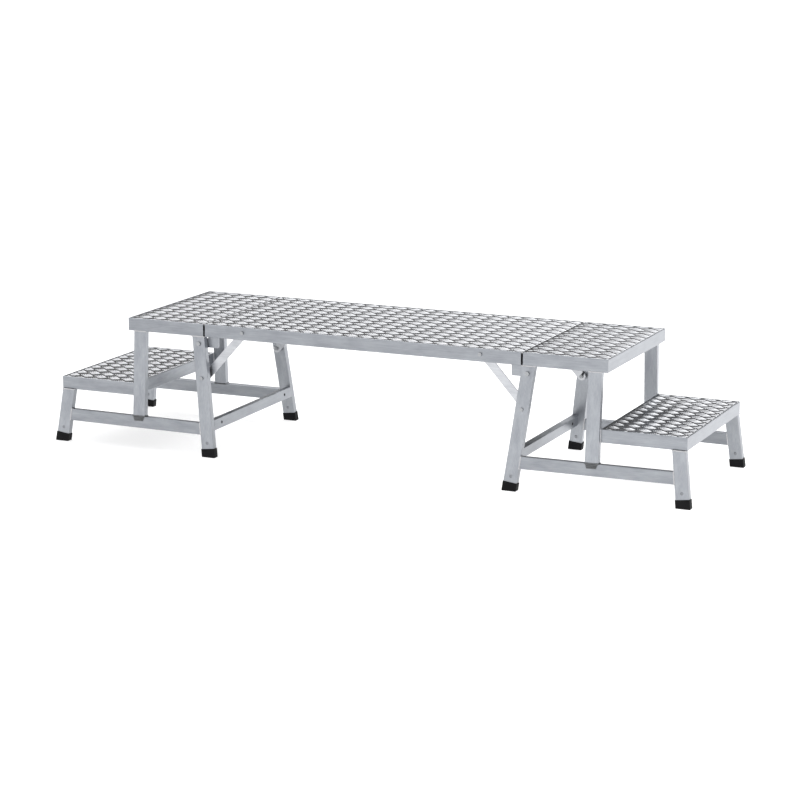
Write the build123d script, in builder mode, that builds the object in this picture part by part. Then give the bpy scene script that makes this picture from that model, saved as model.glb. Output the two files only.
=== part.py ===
from build123d import *

import os
from math import atan2, cos, degrees, radians, tan

# A folding aluminium work platform: a bridge deck between two stands, each with an upper tread and a
# lower step. Millimetres, +X along the deck, front at -Y, +Z up, origin on the floor under the middle
# of the deck. The right front quarter is drawn, and the rest is its mirror images.

# Deck and steps
DECK_HEIGHT = 500.0  # floor to the top of the deck's rim
STEP_HEIGHT = 250.0  # floor to the top of the lower step's rim
DECK_WIDTH = 650.0  # over the side rails
BRIDGE_LENGTH = 1258.0
TREAD_LENGTH = 317.0  # along X, the same for the upper tread and the lower step
JOINT_GAP = 8.0  # open gap between the rails of the bridge and of each stand
TREAD_OVERLAP = 23.0  # how far the upper tread reaches over the lower step

# Box tubes
WALL = 2.0
TUBE_CORNER = 2.0
RAIL_WIDTH = 25.0
RAIL_HEIGHT = 48.0  # with its rim
RIM_WIDTH = 3.0  # rail's outer wall where it stands up round the plate
BEARER_WIDTH = 25.0
BEARER_HEIGHT = 40.0
LEG_DEPTH = 50.0
LEG_THICKNESS = 25.0
BOTTOM_RAIL_DEPTH = 45.0
BOTTOM_RAIL_THICKNESS = 25.0
CROSS_BAR_DEPTH = 40.0
CROSS_BAR_THICKNESS = 25.0

# Tread plates, let into the rails' rims, with no rim where a stand meets the bridge. Each raised group of
# bars is drawn as one low dome.
SHEET = 2.5
PLATE_CLEARANCE = 0.5  # plate's edge to the rim
JOINT_SLIT = 2.5  # between the bridge's plate, which reaches out over the joint's gap, and the stand's
RIM_HEADROOM = 0.5  # raised groups below the rim's top
GROUP_WIDTH = 34.0
GROUP_RISE = 1.5
GROUP_PITCH = 59.4  # between columns, along the deck, with another column halfway
GROUP_ROW_PITCH = 53.5  # between rows, across the deck, with another row halfway
GROUP_MARGIN = 3.0  # least flat strip beside the outer groups

# Legs and bottom rails
LEG_LEAN = 7.0  # degrees, feet towards the ends of their stand
LEG_SPLAY = 4.4  # degrees, feet out past the sides of the deck
LEG_TO_BRIDGE = 4.0  # open gap from the bridge's end to the inner leg's top corner
OUTER_LEG_INSET = 28.0  # from the step's end to the outer leg's middle at its top
OUTER_LEG_OUTSET = 6.5  # outer leg's middle at its top, outside the step rail's middle
BOTTOM_RAIL_MIDDLE = 104.5  # height of the bottom rails' middle
CROSS_BAR_MIDDLE = 116.0  # height of the cross bar's middle, on the leg's middle line

# Feet
FOOT_HEIGHT = 32.0  # along the leg
FOOT_WALL = 2.0
FOOT_CORNER = 3.0
FOOT_EDGE = 2.5  # rounding of the sole's edge
FOOT_SOLE = 10.0  # floor to the tube's end, along the leg's middle line
FOOT_PLUG = 60.0  # plug inside the tube, above the tube's end
FOOT_CLEARANCE = 0.15

# Fold: each stand swings under the bridge, and its stays swing up beside the bridge's rails
FOLD_ANGLE = 83.0
STAY_SWING = 131.0
FOLD_CLEARANCE = 2.0  # folded leg to the rail above it

# Hinge lugs
LUG_LENGTH = 44.0  # along the side rail
LUG_THICKNESS = 6.0
LUG_END_RADIUS = 17.0
LUG_HEADROOM = 6.0  # lug's top edge to the deck plate
LUG_CORNER = 5.0
LUG_TO_LEG = 0.3

# Stays
STAY_WIDTH = 31.0
STAY_THICKNESS = 5.0
STAY_HEADROOM = 1.0  # stowed stay to the deck plate above it
STAY_BOLT_INSET = 155.0  # from the bridge's end
STUD_DROP = 129.0  # stud below the pivot bolt
STAY_SIDE_GAP = 0.5
NOTCH_CLEARANCE = 0.5
BEARER_TO_STAY = 7.0

# Fasteners
RUNNING_CLEARANCE = 0.08
BOLT_CLEARANCE = 0.1
SIDE_PLAY = 0.3
PIVOT_RADIUS = 5.0
PIVOT_HEAD_RADIUS = 9.0
PIVOT_HEAD_HEIGHT = 6.4
STAY_BOLT_RADIUS = 4.0
STAY_HEAD_RADIUS = 7.5
STAY_HEAD_HEIGHT = 5.3
NUT_HEIGHT = 6.5
THREAD_END = 1.5  # bolt's end past its nut
RIVET_RADIUS = 3.0
RIVET_HEAD_RADIUS = 6.0
RIVET_HEAD_HEIGHT = 2.5
RIVET_HEIGHT = 54.0  # foot rivet above the floor, along the leg
CROSS_BAR_RIVET = 59.0  # from the leg's face
SPIGOT_LENGTH = 80.0
SPIGOT_CLEARANCE = 0.2

# Places that follow from the sizes above
bridge_end = BRIDGE_LENGTH / 2
stand_start = bridge_end + JOINT_GAP
stand_end = stand_start + TREAD_LENGTH
step_start = stand_end - TREAD_OVERLAP
step_end = step_start + TREAD_LENGTH
deck_under = DECK_HEIGHT - RAIL_HEIGHT
step_under = STEP_HEIGHT - RAIL_HEIGHT
rail_face = DECK_WIDTH / 2
rail_inside = rail_face - RAIL_WIDTH
rail_middle = rail_face - RAIL_WIDTH / 2
seat_drop = SHEET + GROUP_RISE + RIM_HEADROOM
deck_seat = DECK_HEIGHT - seat_drop
step_seat = STEP_HEIGHT - seat_drop
plate_inset = RIM_WIDTH + PLATE_CLEARANCE
plate_width = DECK_WIDTH - 2 * plate_inset
bridge_plate_end = stand_start - JOINT_SLIT
lean = tan(radians(LEG_LEAN))
splay = tan(radians(LEG_SPLAY))
leg_half_across = LEG_THICKNESS / 2 / cos(radians(LEG_SPLAY))

# Pivot, on the inner leg's middle line
pivot_z = deck_under - LEG_DEPTH / 2 - FOLD_CLEARANCE
leg_top_x = bridge_end + LEG_TO_BRIDGE + LEG_DEPTH / 2 / cos(radians(LEG_LEAN))
leg_top_y = rail_inside + LUG_TO_LEG + leg_half_across
pivot_x = leg_top_x - (deck_under - pivot_z) * lean
outer_leg_top_y = rail_middle + OUTER_LEG_OUTSET

# Stay, from its bolt on the side rail to its stud on the leg's middle line
stay_bolt_x = bridge_end - STAY_BOLT_INSET
stay_bolt_z = deck_seat - STAY_HEADROOM - STAY_WIDTH / 2
stud_z = pivot_z - STUD_DROP
stud_x = pivot_x - STUD_DROP * lean
stay_run = Vector(stud_x - stay_bolt_x, 0, stud_z - stay_bolt_z)
stay_outside = rail_inside - STAY_SIDE_GAP
stay_inside = stay_outside - STAY_THICKNESS
bearer_x = stay_bolt_x - stay_run.length - STAY_WIDTH / 2 - BEARER_TO_STAY - BEARER_WIDTH / 2


def cross_plane(start, direction, depth_direction):
    """Plane across a bar at its start, with the plane's x axis along the bar's deeper side."""
    along = Vector(direction).normalized()
    depth = Vector(depth_direction)
    depth = (depth - along * depth.dot(along)).normalized()
    return Plane(origin=start, x_dir=depth, z_dir=along)


def on_leg(plane, height):
    """Point on a leg's middle line at a height above the floor."""
    return plane.origin + plane.z_dir * (height / plane.z_dir.Z)


def box_section(x_size, y_size):
    """Box tube's section, drawn in the open sketch."""
    RectangleRounded(x_size, y_size, TUBE_CORNER)
    Rectangle(x_size - 2 * WALL, y_size - 2 * WALL, mode=Mode.SUBTRACT)


def rimless_section(face, inward, top):
    """Section of a rail at a joint: a box tube as high as the plate's seat, drawn in the open sketch."""
    tube_height = RAIL_HEIGHT - seat_drop
    with Locations((face + inward * RAIL_WIDTH / 2, top - seat_drop - tube_height / 2)):
        box_section(RAIL_WIDTH, tube_height)


def rail_section(face, inward, top):
    """Section of a frame's rail: a box tube whose outer wall stands up as a rim, drawn in the open sketch."""
    middle = face + inward * RAIL_WIDTH / 2
    tube_height = RAIL_HEIGHT - seat_drop
    with Locations((middle, top - RAIL_HEIGHT / 2)):
        RectangleRounded(RAIL_WIDTH, RAIL_HEIGHT, TUBE_CORNER)
    with Locations((middle + inward * RIM_WIDTH / 2, top - seat_drop / 2)):
        Rectangle(RAIL_WIDTH - RIM_WIDTH, seat_drop, mode=Mode.SUBTRACT)
    with Locations((middle, top - seat_drop - tube_height / 2)):
        Rectangle(RAIL_WIDTH - 2 * WALL, tube_height - 2 * WALL, mode=Mode.SUBTRACT)


def rail_along_x(start, end, top):
    """Front rail of a deck or tread, cut square."""
    with BuildPart() as rail:
        with BuildSketch(Plane.YZ.offset(start)):
            rail_section(-rail_face, 1, top)
        extrude(amount=end - start)
    return rail.part


def rail_along_y(face, inward, top, half_length, section=rail_section):
    """Rail across the end of a deck or tread, cut square."""
    with BuildPart() as rail:
        with BuildSketch(Plane.XZ):
            section(face, inward, top)
        extrude(amount=half_length, both=True)
    return rail.part


def mitre_plane(corner, inward):
    """Upright plane at 45 degrees through a frame's front corner; inward is 1 at its start, -1 at its end."""
    return Plane(origin=(corner, -rail_face, 0), z_dir=(inward, -1, 0))


def frame_side_rail(start, end, top):
    """Front rail of a tread's frame, mitred at both ends."""
    with BuildPart() as rail:
        add(rail_along_x(start, end, top))
        split(bisect_by=mitre_plane(start, 1), keep=Keep.TOP)
        split(bisect_by=mitre_plane(end, -1), keep=Keep.TOP)
    return rail.part


def frame_cross_rail(corner, inward, top, section=rail_section):
    """Inner or outer rail of a tread's frame, mitred at both ends."""
    with BuildPart() as rail:
        add(rail_along_y(corner, inward, top, rail_face, section))
        split(bisect_by=mitre_plane(corner, inward), keep=Keep.BOTTOM)
        split(bisect_by=Plane.XZ, keep=Keep.TOP)
        mirror(about=Plane.XZ)
    return rail.part


def dome_radius(width, rise):
    """Radius of a round dome, from its width and its rise."""
    return (width**2 / 4 + rise**2) / (2 * rise)


def tread_group():
    """One raised group of a tread plate: a low dome on the plane z = 0."""
    with BuildPart() as dome:
        with BuildSketch(Plane.XZ):
            with BuildLine():
                RadiusArc((GROUP_WIDTH / 2, 0), (0, GROUP_RISE), -dome_radius(GROUP_WIDTH, GROUP_RISE))
                Polyline((0, GROUP_RISE), (0, 0), (GROUP_WIDTH / 2, 0))
            make_face()
        revolve(axis=Axis.Z)
    return dome.part


def group_count(length, pitch):
    """How many raised groups fit along one side of a plate."""
    return int((length - GROUP_WIDTH - 2 * GROUP_MARGIN) // pitch) + 1


def tread_plate(start, end, base):
    """Flat sheet with raised groups in staggered columns, between the rims of its side rails."""
    columns = group_count(end - start, GROUP_PITCH)
    rows = group_count(plate_width, GROUP_ROW_PITCH)
    middle = (start + end) / 2
    dome = tread_group()
    with BuildPart() as plate:
        with BuildSketch(Plane.XY.offset(base)):
            with Locations((middle, 0)):
                Rectangle(end - start, plate_width)
        extrude(amount=SHEET)
        with Locations((middle, 0, base + SHEET)):
            with GridLocations(GROUP_PITCH, GROUP_ROW_PITCH, columns, rows):
                add(dome)
            with GridLocations(GROUP_PITCH, GROUP_ROW_PITCH, columns - 1, rows - 1):
                add(dome)
    return plate.part


def disc(x, z, outside, inside, radius, bore=0.0, sides=0):
    """Round or many-sided disc along Y, between two distances in front of the deck's middle."""
    with BuildPart() as body:
        with BuildSketch(Plane.XZ.offset(outside)):
            with Locations((x, z)):
                if sides:
                    RegularPolygon(radius, sides)
                else:
                    Circle(radius)
                if bore:
                    Circle(bore, mode=Mode.SUBTRACT)
        extrude(amount=inside - outside)
    return body.part


def leg(plane, top):
    """Box tube from its foot up to a level cut at the top, drilled for the foot's rivet."""
    with BuildPart() as tube:
        with BuildSketch(plane.offset(FOOT_SOLE)):
            box_section(LEG_DEPTH, LEG_THICKNESS)
        extrude(amount=top + LEG_DEPTH)
        split(bisect_by=Plane.XY.offset(top), keep=Keep.BOTTOM)
        with BuildSketch(foot_rivet_plane(plane)):
            Circle(RIVET_RADIUS)
        extrude(amount=LEG_THICKNESS, both=True, mode=Mode.SUBTRACT)
    return tube.part


def foot(plane):
    """Plastic foot: a cap round the tube's end and a plug inside it, with a level sole."""
    outside = 2 * (FOOT_WALL + FOOT_CLEARANCE)
    inside = 2 * (WALL + FOOT_CLEARANCE)
    with BuildPart() as cap:
        with BuildSketch(plane.offset(-LEG_DEPTH)):
            RectangleRounded(LEG_DEPTH + outside, LEG_THICKNESS + outside, FOOT_CORNER)
        extrude(amount=LEG_DEPTH + FOOT_HEIGHT)
        split(bisect_by=Plane.XY, keep=Keep.TOP)
        fillet(cap.faces().sort_by(Axis.Z)[0].edges(), FOOT_EDGE)
        with BuildSketch(plane.offset(FOOT_SOLE)):
            Rectangle(LEG_DEPTH + 2 * FOOT_CLEARANCE, LEG_THICKNESS + 2 * FOOT_CLEARANCE)
        extrude(amount=FOOT_HEIGHT, mode=Mode.SUBTRACT)
        with BuildSketch(plane.offset(FOOT_SOLE)):
            Rectangle(LEG_DEPTH - inside, LEG_THICKNESS - inside)
        extrude(amount=FOOT_PLUG)
        with BuildSketch(foot_rivet_plane(plane)):
            Circle(RIVET_RADIUS)
        extrude(amount=LEG_THICKNESS, both=True, mode=Mode.SUBTRACT)
    return cap.part


def foot_rivet_plane(plane):
    """Plane across a foot's rivet, at the middle of the leg."""
    return Plane(origin=plane.origin + plane.z_dir * RIVET_HEIGHT, x_dir=plane.x_dir, z_dir=plane.y_dir)


def rivet(grip):
    """Rivet along Z with a low domed head at each end of its grip."""
    with BuildPart() as body:
        with BuildSketch(Plane.XZ):
            with BuildLine():
                Polyline((0, 0), (RIVET_RADIUS, 0), (RIVET_RADIUS, grip / 2), (RIVET_HEAD_RADIUS, grip / 2))
                RadiusArc(
                    (RIVET_HEAD_RADIUS, grip / 2),
                    (0, grip / 2 + RIVET_HEAD_HEIGHT),
                    -dome_radius(2 * RIVET_HEAD_RADIUS, RIVET_HEAD_HEIGHT),
                )
                Line((0, grip / 2 + RIVET_HEAD_HEIGHT), (0, 0))
            make_face()
        revolve(axis=Axis.Z)
        mirror(about=Plane.XY)
    return body.part


def mirror_image(part, *planes):
    """The same piece mirrored in each plane in turn."""
    for plane in planes:
        with BuildPart() as image:
            mirror(part, about=plane)
        part = image.part
    return part


def export(part, name):
    part.label = name
    export_step(part, f"parts/{name}.step")


# Middle lines of the right front legs, bottom rail and post, and of the right cross bar
inner_leg_plane = cross_plane(
    (leg_top_x - deck_under * lean, -leg_top_y - deck_under * splay, 0), (lean, splay, 1), (1, 0, 0)
)
outer_leg_plane = cross_plane(
    (step_end - OUTER_LEG_INSET + step_under * lean, -outer_leg_top_y - step_under * splay, 0),
    (-lean, splay, 1),
    (1, 0, 0),
)
bottom_rail_start = on_leg(inner_leg_plane, BOTTOM_RAIL_MIDDLE)
bottom_rail_run = on_leg(outer_leg_plane, BOTTOM_RAIL_MIDDLE) - bottom_rail_start
bottom_rail_plane = cross_plane(bottom_rail_start, bottom_rail_run, (0, splay, 1))
post_x = step_start - LEG_DEPTH / 2
post_foot = bottom_rail_start + bottom_rail_run * ((post_x - bottom_rail_start.X) / bottom_rail_run.X)
post_run = Vector(post_x, -rail_middle, deck_under) - post_foot
post_plane = cross_plane(post_foot, post_run, (1, 0, 0))
cross_bar_leg = on_leg(inner_leg_plane, CROSS_BAR_MIDDLE)
cross_bar_reach = -cross_bar_leg.Y - leg_half_across
cross_bar_plane = cross_plane((cross_bar_leg.X, 0, cross_bar_leg.Z), (0, 1, 0), (lean, 0, 1))
cross_bar_shift = (CROSS_BAR_THICKNESS - LEG_DEPTH) / 2

# Faces where those bars meet
inner_leg_side = Plane(
    origin=inner_leg_plane.origin + inner_leg_plane.x_dir * (LEG_DEPTH / 2), z_dir=inner_leg_plane.x_dir
)
outer_leg_side = Plane(
    origin=outer_leg_plane.origin - outer_leg_plane.x_dir * (LEG_DEPTH / 2), z_dir=-outer_leg_plane.x_dir
)
inner_leg_inside = Plane(
    origin=inner_leg_plane.origin + inner_leg_plane.y_dir * (LEG_THICKNESS / 2), z_dir=inner_leg_plane.y_dir
)
bottom_rail_top = Plane(
    origin=bottom_rail_start + bottom_rail_plane.x_dir * (BOTTOM_RAIL_DEPTH / 2),
    z_dir=bottom_rail_plane.x_dir,
)

# Level seats cut into the inner leg's sloping faces for the pivot bolt and the stay's stud
pivot_leg_y = leg_top_y + (deck_under - pivot_z) * splay
pivot_seat = pivot_leg_y + leg_half_across - PIVOT_HEAD_RADIUS * splay
pivot_back_seat = pivot_leg_y - leg_half_across + PIVOT_HEAD_RADIUS * splay
stud_leg_y = leg_top_y + (deck_under - stud_z) * splay
stud_seat = stud_leg_y + leg_half_across - STAY_HEAD_RADIUS * splay
stud_back_seat = stud_leg_y - leg_half_across + STAY_HEAD_RADIUS * splay

# Bridge rails, drilled for the stay bolts
with BuildPart() as bridge_rail:
    add(rail_along_x(-bridge_end, bridge_end, DECK_HEIGHT))
    with BuildSketch(Plane.XZ.offset(rail_middle)):
        with Locations((-stay_bolt_x, stay_bolt_z), (stay_bolt_x, stay_bolt_z)):
            Circle(STAY_BOLT_RADIUS + BOLT_CLEARANCE)
    extrude(amount=RAIL_WIDTH, both=True, mode=Mode.SUBTRACT)
bridge_end_rail = rail_along_y(bridge_end, -1, DECK_HEIGHT, rail_inside - LUG_THICKNESS, rimless_section)
with BuildPart() as bridge_bearers:
    with BuildSketch(Plane.XZ):
        with Locations((bearer_x, deck_seat - BEARER_HEIGHT / 2)):
            box_section(BEARER_WIDTH, BEARER_HEIGHT)
    extrude(amount=rail_inside, both=True)
    mirror(about=Plane.YZ)
bridge_deck = tread_plate(-bridge_plate_end, bridge_plate_end, deck_seat)

# Hinge lugs, welded between the side rails and the end rails
with BuildPart() as hinge_lugs:
    with BuildSketch(Plane.XZ.offset(rail_inside)) as lug_outline:
        with Locations((bridge_end, pivot_z - LUG_END_RADIUS)):
            Rectangle(
                LUG_LENGTH,
                deck_seat - LUG_HEADROOM - pivot_z + LUG_END_RADIUS,
                align=(Align.MAX, Align.MIN),
            )
        fillet(lug_outline.vertices().sort_by(Axis.X)[:2], LUG_CORNER)
        with Locations((bridge_end, pivot_z)):
            Rectangle(pivot_x - bridge_end, 2 * LUG_END_RADIUS, align=(Align.MIN, Align.CENTER))
        with Locations((pivot_x, pivot_z)):
            Circle(LUG_END_RADIUS)
            Circle(PIVOT_RADIUS + RUNNING_CLEARANCE, mode=Mode.SUBTRACT)
    extrude(amount=-LUG_THICKNESS)
    mirror(about=Plane.XZ)
    mirror(about=Plane.YZ)

# Stay, with an open notch whose mouth points the way the stud leaves as the stand folds
stay_plane = Plane(origin=(stay_bolt_x, -stay_outside, stay_bolt_z), x_dir=stay_run, z_dir=(0, 1, 0))
hinge_axis = Vector(0, 1, 0)
stud_from_pivot = Vector(stud_x - pivot_x, 0, stud_z - pivot_z)
stud_path = hinge_axis.cross(stud_from_pivot) - hinge_axis.cross(stay_run) * (STAY_SWING / FOLD_ANGLE)
notch_angle = degrees(atan2(stud_path.dot(stay_plane.y_dir), stud_path.dot(stay_plane.x_dir)))
notch_width = 2 * (STAY_BOLT_RADIUS + NOTCH_CLEARANCE)
with BuildPart() as stay:
    with BuildSketch(stay_plane):
        with Locations((stay_run.length / 2, 0)):
            SlotCenterToCenter(stay_run.length, STAY_WIDTH)
        Circle(STAY_BOLT_RADIUS + RUNNING_CLEARANCE, mode=Mode.SUBTRACT)
        with Locations(Location((stay_run.length, 0, 0), (0, 0, notch_angle))):
            Circle(notch_width / 2, mode=Mode.SUBTRACT)
            Rectangle(STAY_WIDTH, notch_width, align=(Align.MIN, Align.CENTER), mode=Mode.SUBTRACT)
    extrude(amount=STAY_THICKNESS)

# Stay bolts and nuts on the bridge's side rails
stay_nut_seat = stay_inside - SIDE_PLAY
stay_nut_end = stay_nut_seat - NUT_HEIGHT
with BuildPart() as stay_bolts:
    add(disc(stay_bolt_x, stay_bolt_z, rail_face + STAY_HEAD_HEIGHT, rail_face, STAY_HEAD_RADIUS, sides=6))
    add(disc(stay_bolt_x, stay_bolt_z, rail_face, stay_nut_end - THREAD_END, STAY_BOLT_RADIUS))
    add(
        disc(
            stay_bolt_x,
            stay_bolt_z,
            stay_nut_seat,
            stay_nut_end,
            STAY_HEAD_RADIUS,
            bore=STAY_BOLT_RADIUS + RUNNING_CLEARANCE,
            sides=6,
        )
    )
    mirror(about=Plane.XZ)
    mirror(about=Plane.YZ)

# Legs, post and bottom rail of the right stand's front
with BuildPart() as inner_leg:
    add(leg(inner_leg_plane, deck_under))
    for seat, outward in ((pivot_seat, 1), (pivot_back_seat, -1)):
        with BuildSketch(Plane.XZ.offset(seat)):
            with Locations((pivot_x, pivot_z)):
                Circle(PIVOT_HEAD_RADIUS + BOLT_CLEARANCE)
        extrude(amount=outward * LEG_THICKNESS / 2, mode=Mode.SUBTRACT)
    for seat, outward in ((stud_seat, 1), (stud_back_seat, -1)):
        with BuildSketch(Plane.XZ.offset(seat)):
            with Locations((stud_x, stud_z)):
                Circle(STAY_HEAD_RADIUS + BOLT_CLEARANCE)
        extrude(amount=outward * LEG_THICKNESS / 2, mode=Mode.SUBTRACT)
    with BuildSketch(Plane.XZ.offset(pivot_leg_y)):
        with Locations((pivot_x, pivot_z)):
            Circle(PIVOT_RADIUS + BOLT_CLEARANCE)
        with Locations((stud_x, stud_z)):
            Circle(STAY_BOLT_RADIUS + BOLT_CLEARANCE)
    extrude(amount=2 * LEG_THICKNESS, both=True, mode=Mode.SUBTRACT)

outer_leg = leg(outer_leg_plane, step_under)

with BuildPart() as bottom_rail:
    with BuildSketch(bottom_rail_plane):
        box_section(BOTTOM_RAIL_DEPTH, BOTTOM_RAIL_THICKNESS)
    extrude(amount=bottom_rail_run.length)
    split(bisect_by=inner_leg_side, keep=Keep.TOP)
    split(bisect_by=outer_leg_side, keep=Keep.TOP)

with BuildPart() as post:
    with BuildSketch(post_plane):
        box_section(LEG_DEPTH, LEG_THICKNESS)
    extrude(amount=post_run.length + LEG_DEPTH)
    split(bisect_by=Plane.XY.offset(deck_under), keep=Keep.BOTTOM)
    split(bisect_by=bottom_rail_top, keep=Keep.TOP)

# Cross bar between the inner legs, riveted to a spigot on each leg
cross_bar_rivet_y = cross_bar_reach - CROSS_BAR_RIVET
cross_bar_rivet_plane = Plane(
    origin=cross_bar_plane.origin + cross_bar_plane.y_dir * cross_bar_shift - Vector(0, cross_bar_rivet_y, 0),
    x_dir=(0, 1, 0),
    z_dir=cross_bar_plane.y_dir,
)
with BuildPart() as cross_bar:
    with BuildSketch(cross_bar_plane):
        with Locations((0, cross_bar_shift)):
            box_section(CROSS_BAR_DEPTH, CROSS_BAR_THICKNESS)
    extrude(amount=cross_bar_reach + LEG_THICKNESS, both=True)
    split(bisect_by=inner_leg_inside, keep=Keep.TOP)
    with BuildSketch(cross_bar_rivet_plane):
        Circle(RIVET_RADIUS)
    extrude(amount=CROSS_BAR_THICKNESS, both=True, mode=Mode.SUBTRACT)
    split(bisect_by=Plane.XZ, keep=Keep.TOP)
    mirror(about=Plane.XZ)

with BuildPart() as spigots:
    with BuildSketch(cross_bar_plane.offset(SPIGOT_LENGTH - cross_bar_reach)):
        with Locations((0, cross_bar_shift)):
            Rectangle(
                CROSS_BAR_DEPTH - 2 * (WALL + SPIGOT_CLEARANCE),
                CROSS_BAR_THICKNESS - 2 * (WALL + SPIGOT_CLEARANCE),
            )
    extrude(amount=-SPIGOT_LENGTH - LEG_THICKNESS)
    split(bisect_by=inner_leg_inside, keep=Keep.TOP)
    with BuildSketch(cross_bar_rivet_plane):
        Circle(RIVET_RADIUS)
    extrude(amount=CROSS_BAR_THICKNESS, both=True, mode=Mode.SUBTRACT)
    mirror(about=Plane.XZ)

# Feet, bolts, studs and rivets of the right stand
with BuildPart() as feet:
    add(foot(inner_leg_plane))
    add(foot(outer_leg_plane))
    mirror(about=Plane.XZ)

lug_inside = rail_inside - LUG_THICKNESS
pivot_nut_seat = lug_inside - SIDE_PLAY
pivot_nut_end = pivot_nut_seat - NUT_HEIGHT
with BuildPart() as pivot_bolts:
    add(disc(pivot_x, pivot_z, pivot_seat + PIVOT_HEAD_HEIGHT, pivot_seat, PIVOT_HEAD_RADIUS, sides=6))
    add(disc(pivot_x, pivot_z, pivot_seat, pivot_nut_end - THREAD_END, PIVOT_RADIUS))
    pivot_bore = PIVOT_RADIUS + RUNNING_CLEARANCE
    washer_end = rail_inside + SIDE_PLAY
    add(disc(pivot_x, pivot_z, pivot_back_seat, washer_end, PIVOT_HEAD_RADIUS, bore=pivot_bore))
    add(disc(pivot_x, pivot_z, pivot_nut_seat, pivot_nut_end, PIVOT_HEAD_RADIUS, bore=pivot_bore, sides=6))
    mirror(about=Plane.XZ)

with BuildPart() as stay_studs:
    add(disc(stud_x, stud_z, stud_seat + STAY_HEAD_HEIGHT, stud_seat, STAY_HEAD_RADIUS, sides=6))
    add(disc(stud_x, stud_z, stud_seat, stay_nut_end - THREAD_END, STAY_BOLT_RADIUS))
    stud_bore = STAY_BOLT_RADIUS + RUNNING_CLEARANCE
    collar_end = stay_outside + SIDE_PLAY
    add(disc(stud_x, stud_z, stud_back_seat, collar_end, STAY_HEAD_RADIUS, bore=stud_bore))
    add(disc(stud_x, stud_z, stay_nut_seat, stay_nut_end, STAY_HEAD_RADIUS, bore=stud_bore, sides=6))
    mirror(about=Plane.XZ)

leg_rivet = rivet(LEG_THICKNESS)
cross_bar_rivet = rivet(CROSS_BAR_THICKNESS)
with BuildPart() as rivets:
    with Locations(foot_rivet_plane(inner_leg_plane), foot_rivet_plane(outer_leg_plane)):
        add(leg_rivet)
    with Locations(cross_bar_rivet_plane):
        add(cross_bar_rivet)
    mirror(about=Plane.XZ)

# Pieces that come in mirrored pairs or fours
os.makedirs("parts", exist_ok=True)
export(bridge_bearers.part, "bridge_bearers")
export(bridge_deck, "bridge_deck")
export(hinge_lugs.part, "hinge_lugs")
export(stay_bolts.part, "stay_bolts")

half_pieces = {
    "upper_inner_rail": frame_cross_rail(stand_start, 1, DECK_HEIGHT, rimless_section),
    "upper_outer_rail": frame_cross_rail(stand_end, -1, DECK_HEIGHT),
    "step_inner_rail": frame_cross_rail(step_start, 1, STEP_HEIGHT),
    "step_outer_rail": frame_cross_rail(step_end, -1, STEP_HEIGHT),
    "upper_tread": tread_plate(stand_start, stand_end - plate_inset, deck_seat),
    "step_tread": tread_plate(step_start + plate_inset, step_end - plate_inset, step_seat),
    "bridge_end_rail": bridge_end_rail,
    "cross_bar": cross_bar.part,
    "spigots": spigots.part,
    "feet": feet.part,
    "pivot_bolts": pivot_bolts.part,
    "stay_studs": stay_studs.part,
    "rivets": rivets.part,
}
quarter_pieces = {
    "upper_side_rail": frame_side_rail(stand_start, stand_end, DECK_HEIGHT),
    "step_side_rail": frame_side_rail(step_start, step_end, STEP_HEIGHT),
    "inner_leg": inner_leg.part,
    "outer_leg": outer_leg,
    "post": post.part,
    "bottom_rail": bottom_rail.part,
    "stay": stay.part,
}
export(bridge_rail.part, "front_bridge_rail")
export(mirror_image(bridge_rail.part, Plane.XZ), "back_bridge_rail")
for name, part in half_pieces.items():
    export(part, f"right_{name}")
    export(mirror_image(part, Plane.YZ), f"left_{name}")
for name, part in quarter_pieces.items():
    export(part, f"right_front_{name}")
    export(mirror_image(part, Plane.XZ), f"right_back_{name}")
    export(mirror_image(part, Plane.YZ), f"left_front_{name}")
    export(mirror_image(part, Plane.XZ, Plane.YZ), f"left_back_{name}")
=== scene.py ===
"""Looks of the folding aluminium work platform: tread plates, welds, finishes, floor, light and camera."""

import math

import bmesh
import bpy
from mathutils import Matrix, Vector


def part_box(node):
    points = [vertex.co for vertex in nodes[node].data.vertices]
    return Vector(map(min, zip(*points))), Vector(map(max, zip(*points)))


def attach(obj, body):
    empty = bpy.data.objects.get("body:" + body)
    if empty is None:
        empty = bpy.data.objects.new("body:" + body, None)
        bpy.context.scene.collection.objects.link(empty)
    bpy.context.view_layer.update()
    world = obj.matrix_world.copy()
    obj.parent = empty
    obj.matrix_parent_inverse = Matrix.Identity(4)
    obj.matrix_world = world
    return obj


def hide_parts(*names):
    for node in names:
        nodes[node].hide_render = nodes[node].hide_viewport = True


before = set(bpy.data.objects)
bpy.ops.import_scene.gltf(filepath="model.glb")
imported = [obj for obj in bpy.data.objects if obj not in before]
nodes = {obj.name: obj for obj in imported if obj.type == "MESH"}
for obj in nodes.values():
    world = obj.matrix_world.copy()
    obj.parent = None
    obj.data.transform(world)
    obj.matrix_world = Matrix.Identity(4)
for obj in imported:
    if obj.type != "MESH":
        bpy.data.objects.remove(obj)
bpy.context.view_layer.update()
SIDES = ("left", "right")
DEPTHS = ("front", "back")

# Camera, metres and degrees
CAMERA_AIM = Vector((0.0231, 0.0, 0.207))
CAMERA_AZIMUTH = 23.56
CAMERA_ELEVATION = 12.35
CAMERA_ROLL = 0.263
CAMERA_DISTANCE = 9.39
CAMERA_LENS_MM = 112.34
CAMERA_SENSOR_MM = 36.0

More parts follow.
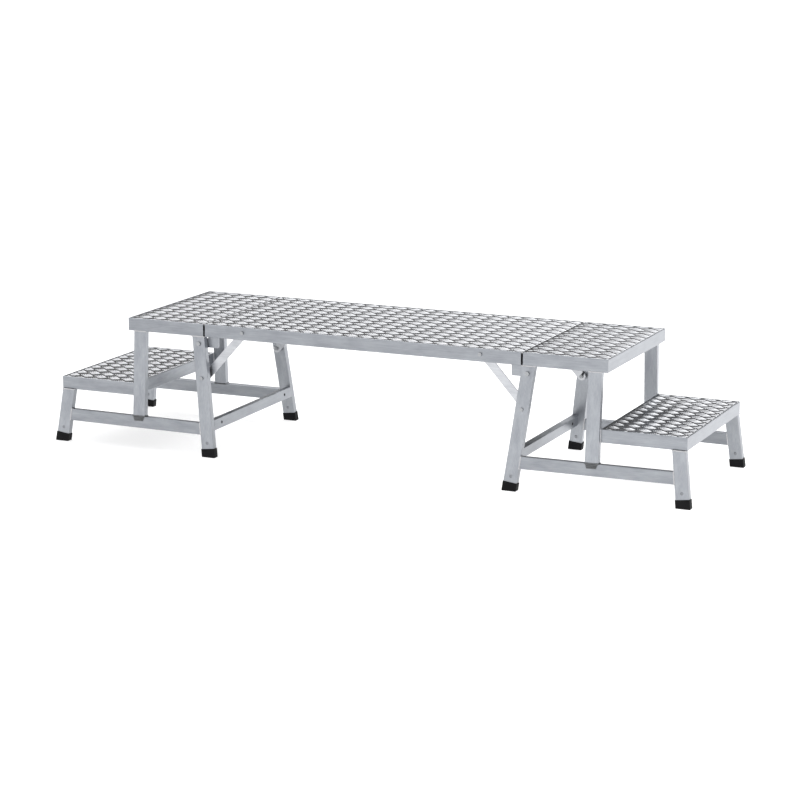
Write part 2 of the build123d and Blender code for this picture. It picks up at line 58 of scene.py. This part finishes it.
# Tread plates, metres
BARS = 5  # side by side in a group
BAR_RISE = 0.0010
BAR_LENGTH = 0.034
BAR_WIDTH = 0.0066
BAR_END_WIDTH = 0.2  # share of the width that is left at a bar's ends
BAR_SPACING = 0.0070
BAR_STATIONS = (-1.0, -0.88, -0.5, 0.5, 0.88, 1.0)  # rings along a bar, in half lengths from its middle
BAR_POINTS = 6  # points of a ring
BAR_SHORTEST = 0.008  # a stretch at a plate's edge that is shorter is left out
BAR_MARGIN = 0.003  # flat strip along a plate's edges
PLATE_SHARP_ANGLE = 50.0  # degrees
GROUP_PITCH_X = 0.05945
GROUP_PITCH_Y = 0.0535
GROUP_KINDS = ((False, 0.0), (True, 0.5))  # whether a group is turned, and its shift in pitches
# Body and finish of each plate, and the middle of one of its straight groups; the right plates take a darker
# copy of the plate colour, as painted shade
PLATES = {
    "bridge_deck": ("bridge", "bright", (0.017, -0.0227)),
    "left_upper_tread": ("left_stand", "bright", (-0.0099, -0.0096)),
    "right_upper_tread": ("right_stand", "shaded", (-0.0223, -0.0089)),
    "left_step_tread": ("left_stand", "bright", (0.0214, -0.0073)),
    "right_step_tread": ("right_stand", "shaded", (0.0083, -0.0077)),
}

# Weld beads, metres
BEAD_RADIUS = 0.0026
BEAD_SIDES = 8
BEAD_STEP = 0.0011
BEAD_FEWEST_STEPS = 4
BEAD_RIPPLE = 0.22  # share of the bead's radius
BEAD_RIPPLE_LENGTH = 0.0034
BEAD_SWELLS = ((0.08, 0.37, 0.0), (0.06, 0.113, 1.0))  # share of the radius, radians a step, start
POST_BEAD_RADIUS = 0.0035
POST_ROWS = 3  # beads below the post's foot, on the rail's outer face
POST_ROW_STEP = 0.0052
POST_ROW_TAPER = 0.04  # each row is this share shorter at both ends
LEG_SPLAY = 0.077  # how far the bottom rail's face leans out, per metre down
END_FACING = 0.9  # least cosine between a bar's direction and its end face's normal
SAME_FACING = 0.9999  # least cosine between the normals of one flat end
SAME_PLACE = 1e-4
SAME_POINT_DECIMALS = 6  # corners that agree to these decimals are one point
SHORTEST_RUN = 1e-9  # keeps a run of no length from dividing by nothing

# Finishes
UNSCALED = (1.0, 1.0, 1.0)
NOISE_RANGE = (0.25, 0.75)  # part of a noise's range that is put to use
TUBE_CLOUDS = ((0.86, 0.86, 0.87), (1.14, 1.14, 1.13))  # darkest and lightest shade of a tube's colour
RIVET_TURNS_DARK = (0.08, 0.09)  # heights, metres

# Studio, metres. A sky is elevations in degrees with their brightness; at the back it has a dark band.
BACK_SKY = (
    (0, 0.25), (5, 0.28), (8.5, 0.52), (10, 0.47), (10.6, 0.33), (11.2, 0.22), (12.5, 0.15),
    (16, 0.06), (26, 0.07), (31, 1.9), (38, 4.4), (60, 4.4), (65, 1.1), (90, 0.8),
)
FRONT_SKY = ((0, 1.25), (90, 1.2))
SKY_TURN = 0.25  # the skies blend over this share of the way to the front and to the back
SKY_BLUE = 1.01  # blue against red and green
FLOOR_REACH = 80.0
FLOOR_GLOW = (0.55, 0.83)  # painted light at the left and the right end of its gradient, dimmer at the left as painted shade
FLOOR_GRADIENT = (-2.0, 0.5)
LAMP_SIZE = 2.5
LAMP_POWER = 40.0
LAMP_PLACE = Vector((2.6, 3.2, 3.2))
LAMP_AIM = Vector((1.6, 1.6, 0.0))


def add_to_scene(name, data):
    """A new object in the scene."""
    thing = bpy.data.objects.new(name, data)
    bpy.context.scene.collection.objects.link(thing)
    return thing


def mesh_from(name, bm):
    """A mesh from bmesh, which is freed."""
    mesh = bpy.data.meshes.new(name)
    bm.to_mesh(mesh)
    bm.free()
    return mesh


def add_piece(name, bm, material, body):
    """A smooth mesh piece that rides on a body and takes a slot's finish."""
    bmesh.ops.recalc_face_normals(bm, faces=bm.faces)
    mesh = mesh_from(name, bm)
    mesh.shade_smooth()
    mesh.materials.append(material)
    piece = add_to_scene(name, mesh)
    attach(piece, body)
    return piece


def map_range(tree, source, from_range, to_range):
    """A number that goes evenly from one range to another."""
    change = tree.nodes.new("ShaderNodeMapRange")
    keys = ("From Min", "From Max", "To Min", "To Max")
    for key, value in zip(keys, (*from_range, *to_range)):
        change.inputs[key].default_value = value
    tree.links.new(source, change.inputs["Value"])
    return change.outputs["Result"]


# Materials


class Finish:
    """A material's node tree, built with short names."""

    def __init__(self, name, metallic=1.0):
        self.material = bpy.data.materials.new(name)
        self.material.use_nodes = True
        self.tree = self.material.node_tree
        self.shader = self.tree.nodes["Principled BSDF"]
        self.shader.inputs["Metallic"].default_value = metallic

    def add(self, kind, **inputs):
        node = self.tree.nodes.new(kind)
        for key, value in inputs.items():
            node.inputs[key].default_value = value
        return node

    def link(self, source, target):
        self.tree.links.new(source, target)

    def place(self, stretch=UNSCALED):
        """Object coordinates, scaled along each axis."""
        coordinates = self.add("ShaderNodeTexCoord")
        mapping = self.add("ShaderNodeMapping", Scale=stretch)
        self.link(coordinates.outputs["Object"], mapping.inputs["Vector"])
        return mapping.outputs["Vector"]

    def along(self, axis):
        """Object coordinate along one axis."""
        split = self.add("ShaderNodeSeparateXYZ")
        self.link(self.place(), split.inputs["Vector"])
        return split.outputs[axis]

    def noise(self, scale, detail=3.0, roughness=0.55, stretch=UNSCALED):
        noise = self.add("ShaderNodeTexNoise", Scale=scale, Detail=detail, Roughness=roughness)
        self.link(self.place(stretch), noise.inputs["Vector"])
        return noise.outputs["Fac"]

    def ramp(self, source, low, high, low_at=0.3, high_at=0.7):
        """A colour between two, over part of a number's range."""
        ramp = self.add("ShaderNodeValToRGB")
        stops = ramp.color_ramp.elements
        stops[0].position, stops[0].color = low_at, (*low, 1.0)
        stops[1].position, stops[1].color = high_at, (*high, 1.0)
        self.link(source, ramp.inputs["Fac"])
        return ramp.outputs["Color"]

    def multiply(self, colour, shade):
        """One colour times another."""
        product = self.add("ShaderNodeMixRGB", Fac=1.0)
        product.blend_type = "MULTIPLY"
        self.link(colour, product.inputs["Color1"])
        self.link(shade, product.inputs["Color2"])
        return product.outputs["Color"]

    def span(self, source, low, high):
        """A number between two, from a noise."""
        return map_range(self.tree, source, NOISE_RANGE, (low, high))

    def relief(self, source, strength, distance=0.0003):
        bump = self.add("ShaderNodeBump", Strength=strength, Distance=distance)
        self.link(source, bump.inputs["Height"])
        return bump.outputs["Normal"]

    def complete(self, colour, roughness, normal):
        """Wires the shader and gives back the material."""
        self.link(colour, self.shader.inputs["Base Color"])
        self.link(roughness, self.shader.inputs["Roughness"])
        self.link(normal, self.shader.inputs["Normal"])
        return self.material


def drawn(axis, share):
    """Stretch of a noise along one axis."""
    return tuple(share if each == axis else 1.0 for each in "xyz")


def tube_material(name, axis, dark, light):
    """Mill-finish tube or bar: fine lines along its length, soft clouds in its colour and shine."""
    made = Finish(name)
    lines = made.noise(scale=900.0, detail=2.0, roughness=0.5, stretch=drawn(axis, 0.012))
    clouds = made.noise(scale=34.0, detail=4.0, roughness=0.6, stretch=drawn(axis, 0.3))
    return made.complete(
        colour=made.multiply(made.ramp(lines, dark, light), made.ramp(clouds, *TUBE_CLOUDS)),
        roughness=made.span(clouds, 0.28, 0.38),
        normal=made.relief(lines, strength=0.12, distance=0.0004),
    )


def plate_material(name, dark, light):
    """Rolled tread plate: glossier than the tubes, with rub marks on the flats."""
    made = Finish(name)
    clouds = made.noise(scale=11.0, detail=5.0, roughness=0.6)
    marks = made.noise(scale=240.0, detail=2.0, roughness=0.5, stretch=drawn("y", 0.05))
    return made.complete(
        colour=made.ramp(clouds, dark, light),
        roughness=made.span(clouds, 0.07, 0.11),
        normal=made.relief(marks, strength=0.06),
    )


def foot_material():
    """Black moulded foot with a fine matt grain."""
    made = Finish("black_foot", metallic=0.0)
    made.shader.inputs["Specular IOR Level"].default_value = 0.08
    grain = made.noise(scale=1400.0, detail=2.0)
    clouds = made.noise(scale=30.0)
    return made.complete(
        colour=made.ramp(clouds, (0.005, 0.005, 0.006), (0.010, 0.010, 0.011)),
        roughness=made.span(clouds, 0.45, 0.6),
        normal=made.relief(grain, strength=0.25),
    )


def steel_material():
    """Zinc-plated bolts and studs: low in shine, with a crystalline mottle."""
    made = Finish("zinc_steel")
    mottle = made.noise(scale=260.0, roughness=0.7)
    return made.complete(
        colour=made.ramp(mottle, (0.26, 0.27, 0.28), (0.40, 0.41, 0.42)),
        roughness=made.span(mottle, 0.32, 0.5),
        normal=made.relief(mottle, strength=0.1),
    )


def rivet_material():
    """Rivets: bright on the feet, dark on the cross bars higher up."""
    made = Finish("rivet")
    mottle = made.noise(scale=260.0, roughness=0.7)
    return made.complete(
        colour=made.ramp(made.along("Z"), (0.24, 0.25, 0.265), (0.03, 0.03, 0.032), *RIVET_TURNS_DARK),
        roughness=made.span(mottle, 0.36, 0.5),
        normal=made.relief(mottle, strength=0.1),
    )


def weld_material(name, dark, light):
    """Frosted weld metal."""
    made = Finish(name)
    frost = made.noise(scale=700.0)
    return made.complete(
        colour=made.ramp(frost, dark, light),
        roughness=made.span(frost, 0.4, 0.6),
        normal=made.relief(frost, strength=0.3),
    )


tube = {
    # the tubes along X take a darker copy of the aluminium colour, as painted shade
    "x": tube_material("shaded_aluminium_tube_x", "x", dark=(0.247, 0.26, 0.281), light=(0.298, 0.311, 0.332)),
    "y": tube_material("aluminium_tube_y", "y", dark=(0.28, 0.294, 0.317), light=(0.336, 0.35, 0.373)),
    "z": tube_material("aluminium_tube_z", "z", dark=(0.28, 0.294, 0.317), light=(0.336, 0.35, 0.373)),
}
plate_finish = {
    "bright": plate_material("tread_plate", dark=(0.355, 0.36, 0.37), light=(0.40, 0.405, 0.415)),
    # a darker copy of the tread plate colour, painted shade for the right plates
    "shaded": plate_material("shaded_tread_plate", dark=(0.305, 0.31, 0.32), light=(0.345, 0.35, 0.36)),
}
# a lighter copy of the tube aluminium for the stays, as painted light
lit_stay_finish = tube_material("lit_aluminium_stay", "x", dark=(0.42, 0.43, 0.45), light=(0.50, 0.51, 0.53))
foot_finish = foot_material()
steel_finish = steel_material()
rivet_finish = rivet_material()
weld_finish = weld_material("weld_bead", dark=(0.42, 0.42, 0.43), light=(0.62, 0.62, 0.63))
# a darker weld colour, for the posts' feet
dark_weld_finish = weld_material("dark_weld", dark=(0.10, 0.105, 0.11), light=(0.20, 0.205, 0.21))

# Finishes by the ends of the nodes' names; the other nodes are tubes across the deck
NODE_FINISHES = (
    (("_deck", "_tread"), plate_finish["bright"]),
    (("_feet",), foot_finish),
    (("_rivets",), rivet_finish),
    (("bolts", "studs"), steel_finish),
    (("_stay",), lit_stay_finish),
    (("_leg", "_post"), tube["z"]),
    (("side_rail", "bottom_rail", "lugs", "front_bridge_rail", "back_bridge_rail"), tube["x"]),
)


def finish_of(name):
    """Material of a CAD node, from what its name says it is."""
    for endings, finish in NODE_FINISHES:
        if name.endswith(endings):
            return finish
    return tube["y"]


for name, node in nodes.items():
    node.data.materials.clear()
    node.data.materials.append(finish_of(name))


# Tread plates


def bar_ring(bm, middle, across, share):
    """Points across a bar at one station: an arch that is full in the middle and flat at the ends."""
    fullness = math.sqrt(1.0 - share**4)
    width = BAR_WIDTH * max(fullness, BAR_END_WIDTH)
    ring = []
    for k in range(BAR_POINTS):
        turn = math.pi * k / (BAR_POINTS - 1)
        rise = Vector((0.0, 0.0, BAR_RISE * fullness * math.sin(turn)))
        ring.append(bm.verts.new(middle + across * width / 2 * math.cos(turn) + rise))
    return ring


def add_bar(bm, start, end):
    """One raised bar of the tread pattern: rounded across, tapered at both ends, closed below."""
    along = (end - start).normalized()
    across = Vector((-along.y, along.x, 0.0))
    middle, half = (start + end) / 2, (end - start) / 2
    rings = [bar_ring(bm, middle + half * share, across, share) for share in BAR_STATIONS]
    for near, far in zip(rings, rings[1:]):
        for k in range(BAR_POINTS - 1):
            bm.faces.new((near[k], near[k + 1], far[k + 1], far[k]))
    bm.faces.new([ring[0] for ring in rings] + [ring[-1] for ring in reversed(rings)])
    bm.faces.new(rings[0])
    bm.faces.new(list(reversed(rings[-1])))


def inside(start, end, low, high):
    """The stretch of a bar that lies on the plate, or nothing."""
    first, last = 0.0, 1.0
    for axis in (0, 1):
        step = end[axis] - start[axis]
        limits = sorted(((low[axis] - start[axis]) / step, (high[axis] - start[axis]) / step))
        first, last = max(first, limits[0]), min(last, limits[1])
    if (last - first) * (end - start).length < BAR_SHORTEST:
        return None
    return start.lerp(end, first), start.lerp(end, last)


def add_group(bm, middle, turned, low, high):
    """Five bars side by side; a turned group lies the other way."""
    way = -1.0 if turned else 1.0
    along = Vector((way * GROUP_PITCH_X, GROUP_PITCH_Y, 0.0)).normalized()
    across = Vector((-way * GROUP_PITCH_X, GROUP_PITCH_Y, 0.0)).normalized()
    for n in range(BARS):
        centre = middle + across * BAR_SPACING * (n - (BARS - 1) / 2)
        run = inside(centre - along * BAR_LENGTH / 2, centre + along * BAR_LENGTH / 2, low, high)
        if run:
            add_bar(bm, *run)


def add_sheet(bm, low, high):
    """Flat sheet between two corners."""
    bmesh.ops.create_cube(bm, size=1.0)
    for corner in bm.verts:
        corner.co = Vector([high[axis] if corner.co[axis] > 0 else low[axis] for axis in range(3)])


def pattern_steps(low, high, origin, pitch):
    """Steps of the pattern that may touch a plate, along one axis."""
    return range(math.floor((low - origin) / pitch) - 1, math.ceil((high - origin) / pitch) + 1)


def tread_plate(node, body, finish, origin):
    """Tread sheet in place of a domed plate; the origin is the middle of one of its straight groups."""
    low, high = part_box(node)
    top = high.z - BAR_RISE
    margin = Vector((BAR_MARGIN, BAR_MARGIN, 0.0))
    bm = bmesh.new()
    add_sheet(bm, low, Vector((high.x, high.y, top)))
    for i in pattern_steps(low.x, high.x, origin[0], GROUP_PITCH_X):
        for j in pattern_steps(low.y, high.y, origin[1], GROUP_PITCH_Y):
            for turned, shift in GROUP_KINDS:
                x = origin[0] + (i + shift) * GROUP_PITCH_X
                y = origin[1] + (j + shift) * GROUP_PITCH_Y
                add_group(bm, Vector((x, y, top)), turned, low + margin, high - margin)
    piece = add_piece(f"{node}_barred", bm, plate_finish[finish], body)
    piece.data.set_sharp_from_angle(angle=math.radians(PLATE_SHARP_ANGLE))
    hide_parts(node)


for name, (body, finish, origin) in PLATES.items():
    tread_plate(name, body, finish, origin)


# Weld beads


def border_edges(mesh, faces):
    """Edges of some faces that only one of them has, as pairs of points."""
    count = {}
    for face in faces:
        places = [mesh.vertices[i].co for i in face.vertices]
        corners = [tuple(round(c, SAME_POINT_DECIMALS) for c in place) for place in places]
        for edge in zip(corners, corners[1:] + corners[:1]):
            count[frozenset(edge)] = count.get(frozenset(edge), 0) + 1
    return [tuple(edge) for edge, uses in count.items() if uses == 1 and len(edge) == 2]


def closed_loops(edges):
    """Edges strung together into closed lists of points."""
    following = {}
    for a, b in edges:
        following.setdefault(a, []).append(b)
        following.setdefault(b, []).append(a)
    loops = []
    while following:
        loop = [next(iter(following))]
        while loop[-1] in following:
            onward = [point for point in following.pop(loop[-1]) if point in following]
            loop.extend(onward[:1])
        loops.append([Vector(point) for point in loop])
    return loops


def end_outline(name, facing):
    """Outer outline of the flat end of a bar that faces a direction, as a closed list of points."""
    mesh = nodes[name].data
    facing = Vector(facing)
    ends = [face for face in mesh.polygons if face.normal.dot(facing) > END_FACING]
    furthest = max(ends, key=lambda face: face.center.dot(facing))
    plane = furthest.normal.copy()
    level = furthest.center.dot(plane)
    flat = [face for face in ends if face.normal.dot(plane) > SAME_FACING]
    cap = [face for face in flat if abs(face.center.dot(plane) - level) < SAME_PLACE]
    loops = closed_loops(border_edges(mesh, cap))
    return max(loops, key=lambda loop: sum((b - a).length for a, b in zip(loop, loop[1:])))


def evenly_spaced(path, closed):
    """Points at an even step along a path of straight runs."""
    runs = list(zip(path, path[1:] + path[:1])) if closed else list(zip(path, path[1:]))
    total = sum((b - a).length for a, b in runs)
    steps = max(BEAD_FEWEST_STEPS, round(total / BEAD_STEP))
    points, start, i = [], 0.0, 0
    for step in range(steps if closed else steps + 1):
        along = total * step / steps
        while i < len(runs) - 1 and along > start + (runs[i][1] - runs[i][0]).length:
            start += (runs[i][1] - runs[i][0]).length
            i += 1
        a, b = runs[i]
        points.append(a.lerp(b, (along - start) / max((b - a).length, SHORTEST_RUN)))
    return points


def bead_reach(radius, step):
    """A bead's radius at a step along it, with its ripples and slower swells."""
    ripple = BEAD_RIPPLE * abs(math.sin(math.pi * step * BEAD_STEP / BEAD_RIPPLE_LENGTH))
    swell = sum(share * math.sin(step * turn + start) for share, turn, start in BEAD_SWELLS)
    return radius * (1.0 - ripple + swell)


def add_bead(bm, path, radius, closed=True):
    """A rippled weld bead along a path."""
    points = evenly_spaced(path, closed)
    count = len(points)
    turns = [2 * math.pi * k / BEAD_SIDES for k in range(BEAD_SIDES)]
    side = None
    rings = []
    for i, point in enumerate(points):
        before = points[i - 1] if closed or i > 0 else point
        after = points[(i + 1) % count] if closed or i < count - 1 else point
        along = (after - before).normalized()
        if side is None:
            side = along.orthogonal()
        side = (side - along * side.dot(along)).normalized()
        other = along.cross(side)
        reach = bead_reach(radius, i)
        ring = [point + (side * math.cos(turn) + other * math.sin(turn)) * reach for turn in turns]
        rings.append([bm.verts.new(place) for place in ring])
    for a, b in zip(rings, rings[1:]):
        join_rings(bm, a, b)
    if closed:
        nearest = min(range(BEAD_SIDES), key=lambda k: (rings[0][k].co - rings[-1][0].co).length)
        join_rings(bm, rings[-1], rings[0][nearest:] + rings[0][:nearest])
    else:
        bm.faces.new(rings[0])
        bm.faces.new(rings[-1])


def join_rings(bm, a, b):
    """Faces between two rings of a bead."""
    for k in range(BEAD_SIDES):
        m = (k + 1) % BEAD_SIDES
        bm.faces.new((a[k], a[m], b[m], b[k]))


def forward(depth):
    """Way from the middle of the platform to its front or its back, along Y."""
    return -1.0 if depth == "front" else 1.0


def step_seam(side, depth):
    """Line where the step's frame meets a post: down its outer corner, along its foot, up the post's edge."""
    low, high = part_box(f"{side}_step_inner_rail")
    x = low.x if side == "right" else high.x
    way = forward(depth)
    top = min(abs(point.y) for point in end_outline(f"{side}_{depth}_post", (0, 0, 1)))
    foot = min(abs(point.y) for point in end_outline(f"{side}_{depth}_post", (0, 0, -1)))
    post_low, post_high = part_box(f"{side}_{depth}_post")

    def post_edge(z):
        share = (z - post_low.z) / (post_high.z - post_low.z)
        return Vector((x, way * (foot + (top - foot) * share), z))

    corner = high.y * way
    return [Vector((x, corner, high.z)), Vector((x, corner, low.z)), post_edge(low.z), post_edge(high.z)]


def stand_welds(side):
    """Beads round the ends of a stand's legs, posts and rails."""
    bm = bmesh.new()
    for depth in DEPTHS:
        stem = f"{side}_{depth}"
        for upright in ("post", "outer_leg", "inner_leg"):
            add_bead(bm, end_outline(f"{stem}_{upright}", (0, 0, 1)), BEAD_RADIUS)
        for direction in (-1, 1):
            add_bead(bm, end_outline(f"{stem}_bottom_rail", (direction, 0, 0)), BEAD_RADIUS)
        add_bead(bm, step_seam(side, depth), BEAD_RADIUS, closed=False)
    add_piece(f"{side}_welds", bm, weld_finish, f"{side}_stand")


def post_foot_welds(side):
    """Wide dark welds that tie the posts to the bottom rails: a bead round each foot, rows below it."""
    bm = bmesh.new()
    for depth in DEPTHS:
        way = forward(depth)
        foot = end_outline(f"{side}_{depth}_post", (0, 0, -1))
        add_bead(bm, foot, POST_BEAD_RADIUS)
        outermost = max(point.y * way for point in foot)
        edge = [point for point in foot if point.y * way > outermost - SAME_PLACE]
        edge.sort(key=lambda point: point.x)
        down = Vector((0.0, way * LEG_SPLAY, -1.0))
        for row in range(1, POST_ROWS + 1):
            start, end = (corner + down * POST_ROW_STEP * row for corner in (edge[0], edge[-1]))
            shorter = POST_ROW_TAPER * row
            run = [start.lerp(end, shorter), end.lerp(start, shorter)]
            add_bead(bm, run, POST_BEAD_RADIUS, closed=False)
    add_piece(f"{side}_post_welds", bm, dark_weld_finish, f"{side}_stand")


for side in SIDES:
    stand_welds(side)
    post_foot_welds(side)


# Floor, light and camera


def floor_material():
    """Pale shooting table that glows as painted light, so that shadows stay soft, and glows less toward the
    left as painted shade.
    """
    made = Finish("floor", metallic=0.0)
    shader = made.shader
    shader.inputs["Roughness"].default_value = 0.9
    shader.inputs["Specular IOR Level"].default_value = 0.0
    shader.inputs["Emission Color"].default_value = (1.0, 1.0, 1.0, 1.0)
    # painted light: the floor's glow, dimmer toward the left as painted shade
    glow = map_range(made.tree, made.along("X"), FLOOR_GRADIENT, FLOOR_GLOW)
    made.link(glow, shader.inputs["Emission Strength"])
    clouds = made.noise(scale=0.4, detail=2.0)
    made.link(made.ramp(clouds, (0.44, 0.44, 0.44), (0.46, 0.46, 0.46)), shader.inputs["Base Color"])
    return made.material


def add_floor():
    """The plain floor that the platform stands on."""
    bm = bmesh.new()
    bmesh.ops.create_grid(bm, x_segments=1, y_segments=1, size=FLOOR_REACH)
    floor = add_to_scene("floor", mesh_from("floor", bm))
    floor.data.materials.append(floor_material())


def sky_ramp(tree, height, sky):
    """Brightness of a sky by its height."""
    ramp = tree.nodes.new("ShaderNodeValToRGB")
    stops = ramp.color_ramp.elements
    for elevation, grey in sky:
        if elevation == 0:
            stop = stops[0]
        elif elevation == 90:
            stop = stops[-1]
        else:
            stop = stops.new(math.sin(math.radians(elevation)))
        stop.color = (grey, grey, grey * SKY_BLUE, 1.0)
    tree.links.new(height, ramp.inputs["Fac"])
    return ramp.outputs["Color"]


def add_sky():
    """A soft sky, plain at the front and with a dark band at the back."""
    world = bpy.data.worlds.new("studio")
    bpy.context.scene.world = world
    world.use_nodes = True
    tree = world.node_tree
    coordinates = tree.nodes.new("ShaderNodeTexCoord")
    split = tree.nodes.new("ShaderNodeSeparateXYZ")
    tree.links.new(coordinates.outputs["Generated"], split.inputs["Vector"])
    mix = tree.nodes.new("ShaderNodeMixRGB")
    to_back = map_range(tree, split.outputs["Y"], (-SKY_TURN, SKY_TURN), (0.0, 1.0))
    tree.links.new(to_back, mix.inputs["Fac"])
    tree.links.new(sky_ramp(tree, split.outputs["Z"], FRONT_SKY), mix.inputs["Color1"])
    tree.links.new(sky_ramp(tree, split.outputs["Z"], BACK_SKY), mix.inputs["Color2"])
    tree.links.new(mix.outputs["Color"], tree.nodes["Background"].inputs["Color"])


def add_lamp():
    """A large soft lamp behind the right stand."""
    data = bpy.data.lights.new("softbox", "AREA")
    data.shape = "DISK"
    data.size = LAMP_SIZE
    data.energy = LAMP_POWER
    softbox = add_to_scene("softbox", data)
    softbox.location = LAMP_PLACE
    softbox.rotation_euler = (LAMP_AIM - LAMP_PLACE).to_track_quat("-Z", "Y").to_euler()


def add_camera():
    """The photograph's viewpoint."""
    azimuth, elevation = math.radians(CAMERA_AZIMUTH), math.radians(CAMERA_ELEVATION)
    level = Vector((math.sin(azimuth), -math.cos(azimuth), 0.0))
    back = level * math.cos(elevation) + Vector((0.0, 0.0, math.sin(elevation)))
    data = bpy.data.cameras.new("camera")
    data.lens = CAMERA_LENS_MM
    data.sensor_width = CAMERA_SENSOR_MM
    eye = add_to_scene("camera", data)
    eye.location = CAMERA_AIM + back * CAMERA_DISTANCE
    eye.rotation_euler = (-back).to_track_quat("-Z", "Y").to_euler()
    eye.rotation_euler.rotate_axis("Z", math.radians(CAMERA_ROLL))
    bpy.context.scene.camera = eye


add_floor()
add_sky()
add_lamp()
add_camera()
bpy.context.scene.view_settings.view_transform = "Standard"
